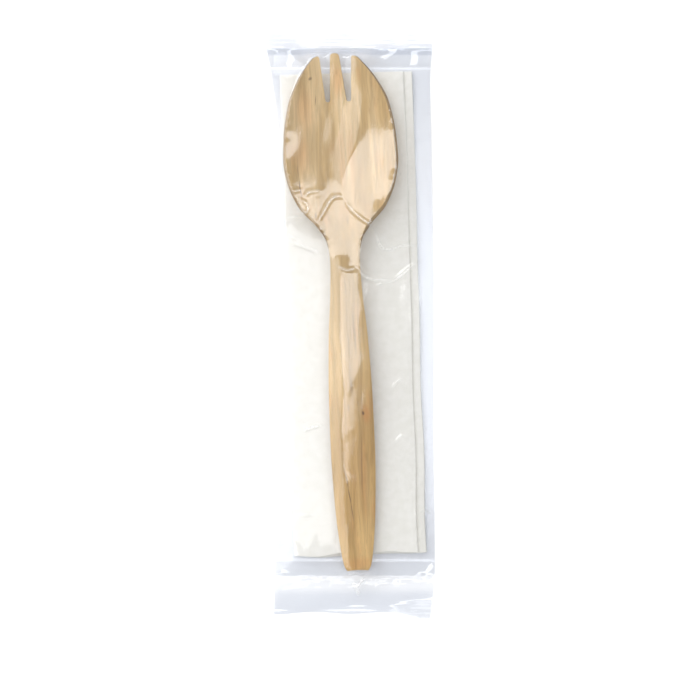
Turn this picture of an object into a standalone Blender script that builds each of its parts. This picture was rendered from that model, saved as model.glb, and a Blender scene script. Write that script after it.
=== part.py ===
"""Wooden cutlery pack: a spork on a folded paper napkin, inside a clear film sleeve sealed at both ends.

Metres. +Z is up, +Y points to the spork's tines and +X runs across. The pack lies flat on its back,
and the origin is on the table under its middle.
"""

import math

import bmesh
import bpy
import numpy as np
from mathutils import Vector
from mathutils.bvhtree import BVHTree

MM = 0.001

# Clearance between pieces that rest on each other
GAP = 0.3 * MM

# Film sleeve: one clear web, wrapped round, lapped along the back and sealed across both ends
FILM = 0.05 * MM
HAIRLINE = 0.05 * MM
SLEEVE_LEFT = [(-81.2, -21.4), (-58, -20.8), (-30, -20.1), (0, -19.6), (26, -19.4), (42, -19.7),
               (60, -20.9), (70, -22.3), (78.5, -23.5), (81.6, -22.2)]
SLEEVE_RIGHT = [(-82.5, 22.0), (-68, 23.5), (-30, 23.1), (0, 23.2), (48, 22.6), (68, 22.2), (78, 22.7),
                (82.5, 21.8)]
SLEEVE_TOP = [(-22.2, 81.6), (-12, 79.2), (-2.4, 80.7), (3.8, 78.7), (11.5, 80.6), (21.8, 82.5)]
SLEEVE_BOTTOM = [(-21.4, -81.2), (-10.4, -80.4), (-1, -81.0), (10.2, -80.4), (22.0, -82.5)]
LEFT_COLUMNS = (0.0, 0.6, 1.2, 2.0, 3.2, 5.0)
RIGHT_COLUMNS = (5.0, 3.0, 1.8, 0.8, 0.0)
INNER_COLUMNS = 11
CAVITY = (-70.2 * MM, 76.4 * MM)
CAVITY_ROWS = 48
CAVITY_END_ROW = 0.7 * MM
SEAL_ROWS = 3
TOP_LIFT = 2.2 * MM
BOTTOM_LIFT = 1.0 * MM
BOTTOM_DROOP = (-81.5 * MM, -73.5 * MM)
FLAT_BACK = (-65.8 * MM, 71.0 * MM)
SIDE_FOLD = 0.35 * MM
PROBES = 9
CAVITY_INSET = 0.1 * MM
PULL_ROUNDS = 400
LAP_X = 1.5 * MM
LAP_WIDTH = 6.0 * MM
LAP_LENGTH = 118.0 * MM

# Napkin: a sheet of tissue folded once along its length and three times across
PAPER = 0.07 * MM
PLY_GAP = 0.03 * MM
NAPKIN_LENGTH = 134.0 * MM
NAPKIN_WIDTH = 36.6 * MM
NAPKIN_STEP = 2.2 * MM
NAPKIN_CENTRE = (0.75 * MM, 2.6 * MM)
NAPKIN_TURN = math.radians(1.75)
BEND_SEGMENTS = 5

# Spork: one pressed birch veneer
VENEER = 1.6 * MM
SPORK_ORIGIN = (-0.85 * MM, 0.0)
SPORK_TURN = math.radians(2.4)
TINE_LEAN = 0.45 * MM
SPORK_ENDS = (-68.3, 74.8)
SPORK_HALF_WIDTH = [(-68.3, 2.6), (-67.3, 3.35), (-61, 4.45), (-51, 5.3), (-34, 5.85), (-21, 5.75), (-4, 5.1),
                    (8, 4.15), (16, 3.85), (22.4, 4.7), (27.4, 7.3), (32.6, 11.8), (39, 14.5), (45, 15.5),
                    (52, 15.1), (60.7, 13.6), (67, 10.9), (72.2, 7.3), (74, 5.4), (74.8, 1.0)]
SPORK_KEEL = [(-68.3, 0.9), (-40, 2.5), (-10, 3.6), (14, 3.9), (24, 3.0), (34, 0.9), (46, 0.0), (58, 0.4),
              (68, 1.3), (74.8, 2.1)]
SPORK_DISH = [(-68.3, -0.7), (-40, -1.2), (-10, -1.2), (14, -0.8), (22, 0.3), (30, 2.6), (40, 4.1), (50, 4.1),
              (60, 3.5), (68, 2.6), (74.8, 1.8)]
TINE_DISH_WIDTH = [(52, 15.1), (62, 13.9), (74.8, 11.0)]
DISH_POWER = 2.2
SPORK_ROWS = 56
SPORK_END_ROWS = (-68.1, -67.7, -67.1, 73.3, 73.8, 74.2, 74.5, 74.7)
SPORK_COLUMNS = 14
SLOT_ROOT = 61.4 * MM
SLOT_MOUTH = 76.0 * MM
SLOT_INNER = (2.28 * MM, 1.3 * MM)
SLOT_OUTER = (3.65 * MM, 4.65 * MM)
SLOT_ARC_STEPS = 8


def clear_scene():
    for obj in list(bpy.data.objects):
        bpy.data.objects.remove(obj, do_unlink=True)


def linear(hex_colour):
    """sRGB hex to the linear RGBA that a material takes."""
    channels = [int(hex_colour[i : i + 2], 16) / 255 for i in (0, 2, 4)]
    return [c / 12.92 if c <= 0.04045 else ((c + 0.055) / 1.055) ** 2.4 for c in channels] + [1.0]


def material(name, hex_colour, roughness, alpha=1.0):
    mat = bpy.data.materials.new(name)
    mat.use_nodes = True
    shader = mat.node_tree.nodes["Principled BSDF"]
    shader.inputs["Base Color"].default_value = linear(hex_colour)
    shader.inputs["Roughness"].default_value = roughness
    shader.inputs["Metallic"].default_value = 0.0
    shader.inputs["Alpha"].default_value = alpha
    return mat


def new_object(name, bm, mat=None):
    bmesh.ops.recalc_face_normals(bm, faces=bm.faces)
    mesh = bpy.data.meshes.new(name)
    bm.to_mesh(mesh)
    bm.free()
    if mat:
        mesh.materials.append(mat)
    obj = bpy.data.objects.new(name, mesh)
    bpy.context.collection.objects.link(obj)
    return obj


def cutter(name, bm):
    obj = new_object(name, bm)
    obj.hide_render = True
    obj.display_type = "WIRE"
    return obj


def boolean(obj, other, operation):
    modifier = obj.modifiers.new(other.name, "BOOLEAN")
    modifier.object = other
    modifier.operation = operation
    modifier.solver = "EXACT"


def through(points, at):
    """A smooth curve through (position, value) points that never overshoots them."""
    x, y = np.array(points, dtype=float).T
    at = np.clip(np.asarray(at, dtype=float), x[0], x[-1])
    slope = np.diff(y) / np.diff(x)
    tangent = np.zeros(len(x))
    rising = slope[:-1] * slope[1:] > 0
    tangent[1:-1][rising] = (2 * slope[:-1] * slope[1:] / (slope[:-1] + slope[1:] + 1e-30))[rising]
    tangent[0], tangent[-1] = slope[0], slope[-1]
    i = np.clip(np.searchsorted(x, at) - 1, 0, len(x) - 2)
    width = x[i + 1] - x[i]
    t = (at - x[i]) / width
    return (
        y[i] * (1 + 2 * t) * (1 - t) ** 2
        + y[i + 1] * t**2 * (3 - 2 * t)
        + width * (tangent[i] * t * (1 - t) ** 2 - tangent[i + 1] * t**2 * (1 - t))
    )


def ease(start, end, at):
    t = np.clip((np.asarray(at, dtype=float) - start) / (end - start), 0, 1)
    return t * t * (3 - 2 * t)


def slab(upper, lower):
    """A closed bmesh between two grids of points of the same shape."""
    rows, columns = upper.shape[:2]
    bm = bmesh.new()
    top = [[bm.verts.new(upper[j, i]) for i in range(columns)] for j in range(rows)]
    under = [[bm.verts.new(lower[j, i]) for i in range(columns)] for j in range(rows)]
    for j in range(rows - 1):
        for i in range(columns - 1):
            bm.faces.new((top[j][i], top[j][i + 1], top[j + 1][i + 1], top[j + 1][i]))
            bm.faces.new((under[j][i], under[j + 1][i], under[j + 1][i + 1], under[j][i + 1]))
    rim = [(0, i) for i in range(columns - 1)] + [(j, columns - 1) for j in range(rows - 1)]
    rim += [(rows - 1, i) for i in range(columns - 1, 0, -1)] + [(j, 0) for j in range(rows - 1, 0, -1)]
    for (j, i), (k, m) in zip(rim, rim[1:] + rim[:1]):
        bm.faces.new((top[j][i], under[j][i], under[k][m], top[k][m]))
    return bm


def prism(outline, start, end, axis):
    """A closed bmesh: a flat outline of (a, b) points extruded along one axis from start to end."""
    place = {"y": lambda a, b, c: (a, c, b), "z": lambda a, b, c: (a, b, c)}[axis]
    bm = bmesh.new()
    face = bm.faces.new([bm.verts.new(place(a, b, start)) for a, b in outline])
    moved = bmesh.ops.extrude_face_region(bm, geom=[face])["geom"]
    offset = Vector(place(0, 0, end - start))
    bmesh.ops.translate(bm, verts=[v for v in moved if isinstance(v, bmesh.types.BMVert)], vec=offset)
    return bm


def shade(obj, angle):
    obj.data.shade_smooth()
    obj.data.set_sharp_from_angle(angle=angle)


# Napkin


def folds():
    """Each fold in turn: its axis, its crease and the thickness of the stack that it bends."""
    stack = PAPER
    plan = []
    folded_twice = 2 * NAPKIN_WIDTH - NAPKIN_STEP
    creases = ((1, NAPKIN_LENGTH), (0, 2 * folded_twice), (0, folded_twice), (0, NAPKIN_WIDTH))
    for axis, crease in creases:
        plan.append((axis, crease, stack))
        stack = 2 * stack + PLY_GAP
    return plan, stack


def bend_reach(stack):
    """Half the length that a bend takes, measured along the middle of the stack."""
    return math.pi * (stack + PLY_GAP) / 4


def fold_over(points, axis, crease, stack):
    """Turns what lies past the crease over onto the rest, round a bend as thick as the stack."""
    reach = bend_reach(stack)
    along, height = points[..., axis].copy(), points[..., 2].copy()
    radius = stack + PLY_GAP / 2 - height
    angle = np.clip((along - crease + reach) / (2 * reach), 0, 1) * math.pi
    past = np.maximum(along - crease - reach, 0)
    bent = along > crease - reach
    points[..., axis] = np.where(bent, crease - reach + radius * np.sin(angle) - past, along)
    points[..., 2] = np.where(bent, stack + PLY_GAP / 2 - radius * np.cos(angle), height)


def fold_lines(plan, axis, length):
    """Where the flat sheet needs an edge so that every bend is round."""
    lines = {0.0}
    for fold_axis, crease, stack in reversed(plan):
        if fold_axis != axis:
            continue
        reach = bend_reach(stack)
        kept = {p for p in lines if p < crease - reach}
        bend = {crease + reach * (2 * k / BEND_SEGMENTS - 1) for k in range(BEND_SEGMENTS + 1)}
        lines = kept | bend | {2 * crease - p for p in kept if 2 * crease - p < length}
    return np.array(sorted(lines | {length}))


def napkin(mat):
    plan, height = folds()
    flat_length = 2 * NAPKIN_LENGTH
    flat_width = 4 * (2 * NAPKIN_WIDTH - NAPKIN_STEP)
    across = fold_lines(plan, 0, flat_width)
    along = fold_lines(plan, 1, flat_length)
    u, v = np.meshgrid(across, along)
    faces = [np.stack([u, v, np.full_like(u, z)], axis=-1) for z in (PAPER, 0.0)]
    for axis, crease, stack in plan:
        for face in faces:
            fold_over(face, axis, crease, stack)
    for face in faces:
        face[..., 0] = NAPKIN_WIDTH / 2 - face[..., 0]
        face[..., 1] -= NAPKIN_LENGTH / 2
    obj = new_object("napkin", slab(*faces), mat)
    obj.rotation_euler.z = NAPKIN_TURN
    obj.location = (*NAPKIN_CENTRE, 2 * FILM + HAIRLINE + GAP)
    shade(obj, math.radians(40))
    return obj, obj.location.z + height


# Spork


def spork_surface():
    """The middle of the veneer, as rows from the handle's end to the tines, and its normals."""
    y = np.unique(np.append(np.linspace(*SPORK_ENDS, SPORK_ROWS), SPORK_END_ROWS))
    rows, across = np.meshgrid(y, np.linspace(-1, 1, SPORK_COLUMNS + 1), indexing="ij")
    half_width = through(SPORK_HALF_WIDTH, rows)
    x = across * half_width
    dish_width = np.where(rows > TINE_DISH_WIDTH[0][0], through(TINE_DISH_WIDTH, rows), half_width)
    dish = through(SPORK_DISH, rows)
    rise = dish * np.abs(x / dish_width) ** np.where(dish > 0, DISH_POWER, 2)
    z = through(SPORK_KEEL, rows) + rise
    points = np.stack([x, rows, z], axis=-1) * MM
    normals = np.cross(np.gradient(points, axis=1), np.gradient(points, axis=0))
    normals /= np.linalg.norm(normals, axis=-1, keepdims=True)
    points[..., 0] -= TINE_LEAN * ease(60 * MM, 75 * MM, points[..., 1])
    return points, normals


def slot_outline(side):
    """A tapered slot between two tines, with a round root."""
    lean = [0.0, -TINE_LEAN]
    inner = [side * a + b for a, b in zip(SLOT_INNER, lean)]
    outer = [side * a + b for a, b in zip(SLOT_OUTER, lean)]
    middle = (inner[0] + outer[0]) / 2
    radius = abs(outer[0] - inner[0]) / 2
    root = []
    for k in range(SLOT_ARC_STEPS + 1):
        angle = math.pi * k / SLOT_ARC_STEPS
        root.append((middle + side * radius * math.cos(angle), SLOT_ROOT + radius - radius * math.sin(angle)))
    return root + [(inner[1], SLOT_MOUTH), (outer[1], SLOT_MOUTH)]


def spork(mat, rest):
    """The spork with its lowest point at height rest."""
    points, normals = spork_surface()
    upper = points + normals * VENEER / 2
    lower = points - normals * VENEER / 2
    obj = new_object("spork", slab(upper, lower), mat)
    for side, name in ((-1, "left_slot_cutter"), (1, "right_slot_cutter")):
        slot = cutter(name, prism(slot_outline(side), -0.01, 0.02, "z"))
        slot.parent = obj
        boolean(obj, slot, "DIFFERENCE")
    obj.rotation_euler.z = SPORK_TURN
    obj.location = (*SPORK_ORIGIN, rest - lower[..., 2].min())
    shade(obj, math.radians(35))
    return obj


# Film sleeve


def back_height(y):
    """How far the sleeve's back is above the table: flat under the contents, raised at the end seals."""
    top = TOP_LIFT * ease(FLAT_BACK[1], CAVITY[1], y)
    bottom = BOTTOM_LIFT * ease(-FLAT_BACK[0], -CAVITY[0], -y) * ease(*BOTTOM_DROOP, y)
    return top + bottom


def sleeve_plan():
    """Where the sleeve's grid stands in plan: rows up the pack, columns from left to right."""
    ends = (CAVITY[0] + CAVITY_END_ROW, CAVITY[1] - CAVITY_END_ROW)
    cavity = np.unique(np.append(np.linspace(*CAVITY, CAVITY_ROWS + 1), ends))
    columns = len(LEFT_COLUMNS) + INNER_COLUMNS + len(RIGHT_COLUMNS)
    nominal = np.linspace(SLEEVE_TOP[0][0], SLEEVE_TOP[-1][0], columns)
    bottom = through(SLEEVE_BOTTOM, nominal) * MM
    top = through(SLEEVE_TOP, nominal) * MM
    share = np.linspace(0, 1, SEAL_ROWS + 1)[:, None]
    y = np.vstack(
        [
            (bottom + (cavity[0] - bottom) * share)[:-1],
            np.repeat(cavity[:, None], columns, axis=1),
            (cavity[-1] + (top - cavity[-1]) * share)[1:],
        ]
    )
    left = through(SLEEVE_LEFT, y / MM) * MM
    right = through(SLEEVE_RIGHT, y / MM) * MM
    inner_left = left + LEFT_COLUMNS[-1] * MM
    inner_right = right - RIGHT_COLUMNS[0] * MM
    x = inner_left.copy()
    for i in range(y.shape[1]):
        after = i - len(LEFT_COLUMNS) - INNER_COLUMNS
        if i < len(LEFT_COLUMNS):
            x[:, i] = left[:, i] + LEFT_COLUMNS[i] * MM
        elif after >= 0:
            x[:, i] = right[:, i] - RIGHT_COLUMNS[after] * MM
        else:
            part = (i - len(LEFT_COLUMNS) + 1) / (INNER_COLUMNS + 1)
            x[:, i] = inner_left[:, i] + (inner_right[:, i] - inner_left[:, i]) * part
    return x, y


def content_height(contents, x, y):
    """The highest point of the contents in the cells around each grid point."""
    above = 0.1
    trees = []
    graph = bpy.context.evaluated_depsgraph_get()
    for obj in contents:
        bm = bmesh.new()
        bm.from_object(obj, graph)
        bm.transform(obj.matrix_world)
        trees.append(BVHTree.FromBMesh(bm))
        bm.free()
    rows, columns = x.shape
    height = np.full(x.shape, -1.0)
    steps = np.linspace(-1, 1, PROBES)
    for j in range(rows):
        for i in range(columns):
            for a in steps:
                for b in steps:
                    side = min(max(i + int(math.copysign(1, a)), 0), columns - 1)
                    row = min(max(j + int(math.copysign(1, b)), 0), rows - 1)
                    px = x[j, i] + abs(a) * (x[j, side] - x[j, i])
                    py = y[j, i] + abs(b) * (y[row, i] - y[j, i])
                    for tree in trees:
                        hit = tree.ray_cast(Vector((px, py, above)), Vector((0, 0, -1)))[0]
                        if hit:
                            height[j, i] = max(height[j, i], hit.z)
    return height


def pulled_tight(need, fixed, held):
    """A film pulled tight over what it covers: at least need, flat between, and fixed where held."""
    height = np.where(held, fixed, np.maximum(need, fixed))
    for _ in range(PULL_ROUNDS):
        mean = height.copy()
        mean[1:-1, 1:-1] = (
            height[:-2, 1:-1] + height[2:, 1:-1] + height[1:-1, :-2] + height[1:-1, 2:]
        ) / 4
        mean[1:-1, 0] = (height[:-2, 0] + height[2:, 0]) / 2
        mean[1:-1, -1] = (height[:-2, -1] + height[2:, -1]) / 2
        height = np.where(held, fixed, np.maximum(need, mean))
    return height


def film_sleeve(mat, contents):
    x, y = sleeve_plan()
    back = back_height(y)
    seal = np.zeros(x.shape, dtype=bool)
    seal[: SEAL_ROWS + 1] = True
    seal[-SEAL_ROWS - 1 :] = True
    floor = np.where(seal, back + 2 * FILM + HAIRLINE, back + SIDE_FOLD)
    need = np.maximum(content_height(contents, x, y) + GAP + FILM, floor)
    front = pulled_tight(need, floor, seal)
    upper = np.stack([x, y, front], axis=-1)
    lower = np.stack([x, y, back], axis=-1)
    sleeve = new_object("film_sleeve", slab(upper, lower), mat)

    inside = slice(SEAL_ROWS, -SEAL_ROWS)
    cavity_x = x[inside].copy()
    cavity_x[:, 0] += CAVITY_INSET
    cavity_x[:, -1] -= CAVITY_INSET
    roof = front[inside] - FILM
    ground = back[inside] + FILM
    cavity = cutter(
        "cavity_cutter",
        slab(np.stack([cavity_x, y[inside], roof], axis=-1), np.stack([cavity_x, y[inside], ground], axis=-1)),
    )
    boolean(sleeve, cavity, "DIFFERENCE")

    half = LAP_LENGTH / 2
    mouth = [(LAP_X, -FILM), (LAP_X + HAIRLINE, -FILM), (LAP_X + HAIRLINE, 1.5 * FILM), (LAP_X, 1.5 * FILM)]
    boolean(sleeve, cutter("lap_mouth_cutter", prism(mouth, -half, half, "y")), "DIFFERENCE")
    turn = LAP_X + HAIRLINE
    under = FILM + HAIRLINE
    flap_outline = [
        (turn, FILM / 2),
        (turn + FILM, FILM / 2),
        (turn + FILM, under + FILM),
        (turn - LAP_WIDTH, under + FILM),
        (turn - LAP_WIDTH, under),
        (turn, under),
    ]
    boolean(sleeve, cutter("lap_flap", prism(flap_outline, -half, half, "y")), "UNION")
    shade(sleeve, math.radians(50))
    return sleeve


def main():
    clear_scene()
    napkin_obj, napkin_top = napkin(material("white_tissue", "F2F0EA", 0.9))
    spork_obj = spork(material("birch_veneer", "C6A46E", 0.62), napkin_top + GAP)
    bpy.context.view_layer.update()
    film_sleeve(material("clear_film", "E9EEF2", 0.12, alpha=0.35), (napkin_obj, spork_obj))


main()
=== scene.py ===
"""Looks of the wooden cutlery pack: a birch veneer spork on a folded tissue napkin, in a clear film sleeve."""

import math

import bmesh
import bpy
import numpy as np
from bpy.props import FloatProperty, FloatVectorProperty, IntProperty, PointerProperty
from mathutils import Matrix, Vector
from mathutils.bvhtree import BVHTree


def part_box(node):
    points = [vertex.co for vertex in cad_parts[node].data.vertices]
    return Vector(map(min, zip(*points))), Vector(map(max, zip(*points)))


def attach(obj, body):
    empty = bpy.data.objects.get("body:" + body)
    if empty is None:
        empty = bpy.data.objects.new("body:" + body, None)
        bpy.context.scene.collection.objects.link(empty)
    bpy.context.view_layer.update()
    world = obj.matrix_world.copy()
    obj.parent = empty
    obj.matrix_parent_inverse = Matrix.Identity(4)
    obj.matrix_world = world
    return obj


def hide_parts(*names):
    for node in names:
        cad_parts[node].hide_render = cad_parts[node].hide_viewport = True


bl_info = {
    "name": "Wooden cutlery pack",
    "version": (1, 0, 0),
    "blender": (4, 5, 0),
    "location": "View3D > Sidebar > Cutlery pack",
    "description": "Builds a veneer spork and a folded napkin in a clear film sleeve",
    "category": "Add Mesh",
}

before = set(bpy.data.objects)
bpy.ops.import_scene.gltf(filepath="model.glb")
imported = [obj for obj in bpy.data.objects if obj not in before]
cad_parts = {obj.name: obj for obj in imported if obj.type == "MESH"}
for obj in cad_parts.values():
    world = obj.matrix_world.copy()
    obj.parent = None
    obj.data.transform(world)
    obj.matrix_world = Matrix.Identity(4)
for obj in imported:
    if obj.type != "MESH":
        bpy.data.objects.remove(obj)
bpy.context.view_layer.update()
SPORK_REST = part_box("spork")[0].z
NAPKIN_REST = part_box("napkin")[0].z

MM = 0.001
BODY = "root"

# Spork outline, in its own frame: +Y towards the tines, millimetres
SPORK_ORIGIN = (-0.85, 0.0)
SPORK_TURN = math.radians(2.4)
SPORK_LENGTH = (-68.3, 74.75)
SPORK_HALF_WIDTH = [
    (-68.3, 2.6),
    (-67.3, 3.35),
    (-61, 4.45),
    (-51, 5.3),
    (-34, 5.85),
    (-21, 5.75),
    (-4, 5.1),
    (8, 4.15),
    (16, 3.85),
    (22.4, 4.7),
    (27.4, 7.3),
    (32.6, 11.8),
    (39, 14.5),
    (45, 15.5),
    (52, 15.1),
    (60.7, 13.6),
    (67, 10.9),
    (72.2, 7.3),
    (74, 5.4),
    (74.8, 1.0),
]
SPORK_KEEL = [
    (-68.3, 0.9),
    (-40, 2.5),
    (-10, 3.6),
    (14, 3.9),
    (24, 3.0),
    (34, 0.9),
    (46, 0.0),
    (58, 0.4),
    (68, 1.3),
    (74.8, 2.1),
]
SPORK_DISH = [
    (-68.3, -0.7),
    (-40, -1.2),
    (-10, -1.2),
    (14, -0.8),
    (22, 0.3),
    (30, 2.6),
    (40, 4.1),
    (50, 4.1),
    (60, 3.5),
    (68, 2.6),
    (74.8, 1.8),
]
TINE_DISH_WIDTH = [(52, 15.1), (62, 13.9), (74.8, 11.0)]
DISH_POWER = 2.2
TINE_LEAN = 0.45
SLOT_ROOT = 61.4
SLOT_MOUTH = 76.0
# Each slot's two edges at its root and at its mouth
LEFT_SLOT = ((-3.65, -5.1), (-2.28, -1.75))
RIGHT_SLOT = ((2.28, 0.45), (3.65, 4.2))
TINE_TIPS = (74.0, 74.75, 73.9)
TINE_COLUMNS = (26, 12, 26)
ROOT_STEPS = (0.0, 0.02, 0.08, 0.18, 0.32, 0.5)

# Napkin, folded once along and three times across
PAPER = 0.07
PLY_GAP = 0.03
NAPKIN_LENGTH = 134.0
NAPKIN_WIDTH = 36.6
NAPKIN_STEP = 2.2
NAPKIN_CENTRE = (0.75, 2.6)
NAPKIN_TURN = math.radians(1.75)
BEND_SEGMENTS = 6

# Film sleeve outline, millimetres
SLEEVE_LEFT = [
    (-81.2, -21.4),
    (-58, -20.8),
    (-30, -20.1),
    (0, -19.6),
    (26, -19.4),
    (42, -19.7),
    (60, -20.9),
    (70, -22.3),
    (78.5, -23.5),
    (81.6, -22.2),
]
SLEEVE_RIGHT = [
    (-82.5, 22.0),
    (-68, 23.5),
    (-30, 23.1),
    (0, 23.2),
    (48, 22.6),
    (68, 22.2),
    (78, 22.7),
    (82.5, 21.8),
]
SLEEVE_TOP = [(-22.2, 81.6), (-12, 79.2), (-2.4, 80.7), (3.8, 78.7), (11.5, 80.6), (21.8, 82.5)]
SLEEVE_BOTTOM = [(-21.4, -81.2), (-10.4, -80.4), (-1, -81.0), (10.2, -80.4), (22.0, -82.5)]
FILM = 0.05
HAIRLINE = 0.05
CAVITY = (-70.2, 76.4)
TOP_LIFT = 2.2
BOTTOM_LIFT = 1.0
BOTTOM_DROOP = (-81.5, -73.5)
FLAT_BACK = (-65.8, 71.0)
SIDE_FOLD = 0.35
LAP_X = 1.5
LAP_WIDTH = 6.0
LAP_LENGTH = 118.0


# Shapes and helpers


def through(points, at):
    """A smooth curve through (position, value) points that never overshoots them."""
    x, y = np.array(points, dtype=float).T
    at = np.clip(np.asarray(at, dtype=float), x[0], x[-1])
    slope = np.diff(y) / np.diff(x)
    tangent = np.zeros(len(x))
    rising = slope[:-1] * slope[1:] > 0
    tangent[1:-1][rising] = (2 * slope[:-1] * slope[1:] / (slope[:-1] + slope[1:] + 1e-30))[rising]
    tangent[0], tangent[-1] = slope[0], slope[-1]
    i = np.clip(np.searchsorted(x, at) - 1, 0, len(x) - 2)
    width = x[i + 1] - x[i]
    t = (at - x[i]) / width
    return (
        y[i] * (1 + 2 * t) * (1 - t) ** 2
        + y[i + 1] * t**2 * (3 - 2 * t)
        + width * (tangent[i] * t * (1 - t) ** 2 - tangent[i + 1] * t**2 * (1 - t))
    )


def ease(start, end, at):
    t = np.clip((np.asarray(at, dtype=float) - start) / (end - start), 0, 1)
    return t * t * (3 - 2 * t)


def ripples(x, y, wavelength, seed, stretch=1.0, waves=14):
    """Smooth random waves of about one height, longer along y where stretch is above 1."""
    rng = np.random.default_rng(seed)
    total = np.zeros(np.shape(x))
    for _ in range(waves):
        angle = rng.uniform(0, math.tau)
        length = wavelength * rng.uniform(0.7, 1.5)
        phase = rng.uniform(0, math.tau)
        total += np.cos(math.tau / length * (x * math.cos(angle) + y * math.sin(angle) / stretch) + phase)
    return total / math.sqrt(waves / 2)


def linear(hex_colour):
    channels = [int(hex_colour[i : i + 2], 16) / 255 for i in (1, 3, 5)]
    return [c / 12.92 if c <= 0.04045 else ((c + 0.055) / 1.055) ** 2.4 for c in channels] + [1.0]


def to_hex_default(hex_colour):
    return linear(hex_colour)[:3]


def turned(points, origin, turn):
    """Points in millimetres turned about Z and moved to origin, in metres."""
    c, s = math.cos(turn), math.sin(turn)
    out = np.array(points, dtype=float)
    x, y = out[..., 0].copy(), out[..., 1].copy()
    out[..., 0] = c * x - s * y + origin[0]
    out[..., 1] = s * x + c * y + origin[1]
    return out * MM


def mesh_object(name, verts, faces):
    mesh = bpy.data.meshes.new(name)
    mesh.from_pydata([tuple(v) for v in verts], [], [tuple(f) for f in faces])
    mesh.validate()
    mesh.update()
    obj = bpy.data.objects.new(name, mesh)
    bpy.context.scene.collection.objects.link(obj)
    return obj


def grid_faces(rows, columns, start=0, flip=False):
    """Quads of a grid of points numbered row by row from start."""
    faces = []
    for j in range(rows - 1):
        for i in range(columns - 1):
            a = start + j * columns + i
            quad = (a, a + 1, a + columns + 1, a + columns)
            faces.append(quad[::-1] if flip else quad)
    return faces


def settle(obj):
    """Turns the evaluated object into a plain mesh without modifiers."""
    graph = bpy.context.evaluated_depsgraph_get()
    mesh = bpy.data.meshes.new_from_object(obj.evaluated_get(graph))
    obj.modifiers.clear()
    obj.data = mesh
    obj.data.name = obj.name
    return obj


def smooth(obj, angle=60):
    obj.data.shade_smooth()
    obj.data.set_sharp_from_angle(angle=math.radians(angle))


def add(tree, kind, settings=(), **links):
    """Adds a node, sets its properties, and fills its inputs with values or links by name."""
    node = tree.nodes.new(kind)
    for key, value in dict(settings).items():
        setattr(node, key, value)
    for key, value in links.items():
        name = key.replace("_", " ")
        socket = node.inputs[int(key[1:])] if key[0] == "i" and key[1:].isdigit() else node.inputs[name]
        if isinstance(value, bpy.types.NodeSocket):
            tree.links.new(value, socket)
        else:
            socket.default_value = value
    return node


def new_material(name):
    mat = bpy.data.materials.new(name)
    mat.use_nodes = True
    mat.node_tree.nodes.clear()
    return mat, mat.node_tree


def millimetres(tree, turn=0.0, origin=(0.0, 0.0)):
    """Object coordinates in millimetres in a piece's own frame."""
    where = add(tree, "ShaderNodeTexCoord").outputs["Object"]
    moved = add(
        tree,
        "ShaderNodeMapping",
        {"vector_type": "TEXTURE"},
        Vector=where,
        Location=(origin[0] * MM, origin[1] * MM, 0),
        Rotation=(0, 0, turn),
        Scale=(MM, MM, MM),
    )
    return moved.outputs[0]


def stretched(tree, vector, x, y, z=1.0):
    """The pattern space whose cells measure x, y and z millimetres."""
    return add(tree, "ShaderNodeMapping", Vector=vector, Scale=(1 / x, 1 / y, 1 / z)).outputs[0]


def noise(tree, vector, detail=2.0, roughness=0.5, distortion=0.0):
    node = add(
        tree,
        "ShaderNodeTexNoise",
        Vector=vector,
        Scale=1.0,
        Detail=detail,
        Roughness=roughness,
        Distortion=distortion,
    )
    return node.outputs["Fac"]


def ramp(tree, factor, stops, interpolation="LINEAR"):
    node = add(tree, "ShaderNodeValToRGB", Fac=factor)
    node.color_ramp.interpolation = interpolation
    elements = node.color_ramp.elements
    while len(elements) < len(stops):
        elements.new(0.5)
    for element, (position, colour) in zip(elements, stops):
        element.position = position
        element.color = linear(colour) if isinstance(colour, str) else (colour, colour, colour, 1)
    return node.outputs["Color"]


def span(tree, value, low, high, out_low=0.0, out_high=1.0, kind="SMOOTHSTEP"):
    """Maps value from low..high to out_low..out_high, held at the ends."""
    node = add(tree, "ShaderNodeMapRange", {"interpolation_type": kind}, Value=value)
    node.inputs["From Min"].default_value = low
    node.inputs["From Max"].default_value = high
    node.inputs["To Min"].default_value = out_low
    node.inputs["To Max"].default_value = out_high
    return node.outputs[0]


def maths(tree, operation, a, b=0.0):
    return add(tree, "ShaderNodeMath", {"operation": operation}, i0=a, i1=b).outputs[0]


def blend(tree, factor, a, b, kind="MIX"):
    node = add(tree, "ShaderNodeMix", {"data_type": "RGBA", "blend_type": kind}, i0=factor, i6=a, i7=b)
    return node.outputs[2]


# Spork


def slot_edges(slot, y):
    """A slot's two edges at height y: round at the root, then opening to the mouth."""
    (left_root, left_mouth), (right_root, right_mouth) = slot
    middle = (left_root + right_root) / 2
    radius = (right_root - left_root) / 2
    up = np.clip(y - SLOT_ROOT, 0, None)
    half = np.sqrt(np.clip(radius**2 - (radius - np.minimum(up, radius)) ** 2, 0, None))
    t = np.clip((up - radius) / (SLOT_MOUTH - SLOT_ROOT - radius), 0, 1)
    return middle - half + (left_mouth - left_root) * t, middle + half + (right_mouth - right_root) * t


def tine_lean(y):
    return TINE_LEAN * ease(60, 75, y)


def spork_height(x, y):
    """The middle of the veneer above its lowest point: a dish in the bowl, a crown along the handle."""
    half_width = through(SPORK_HALF_WIDTH, y)
    dish_width = np.where(y > TINE_DISH_WIDTH[0][0], through(TINE_DISH_WIDTH, y), half_width)
    dish = through(SPORK_DISH, y)
    rise = dish * np.abs((x + tine_lean(y)) / dish_width) ** np.where(dish > 0, DISH_POWER, 2)
    return through(SPORK_KEEL, y) + rise


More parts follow.
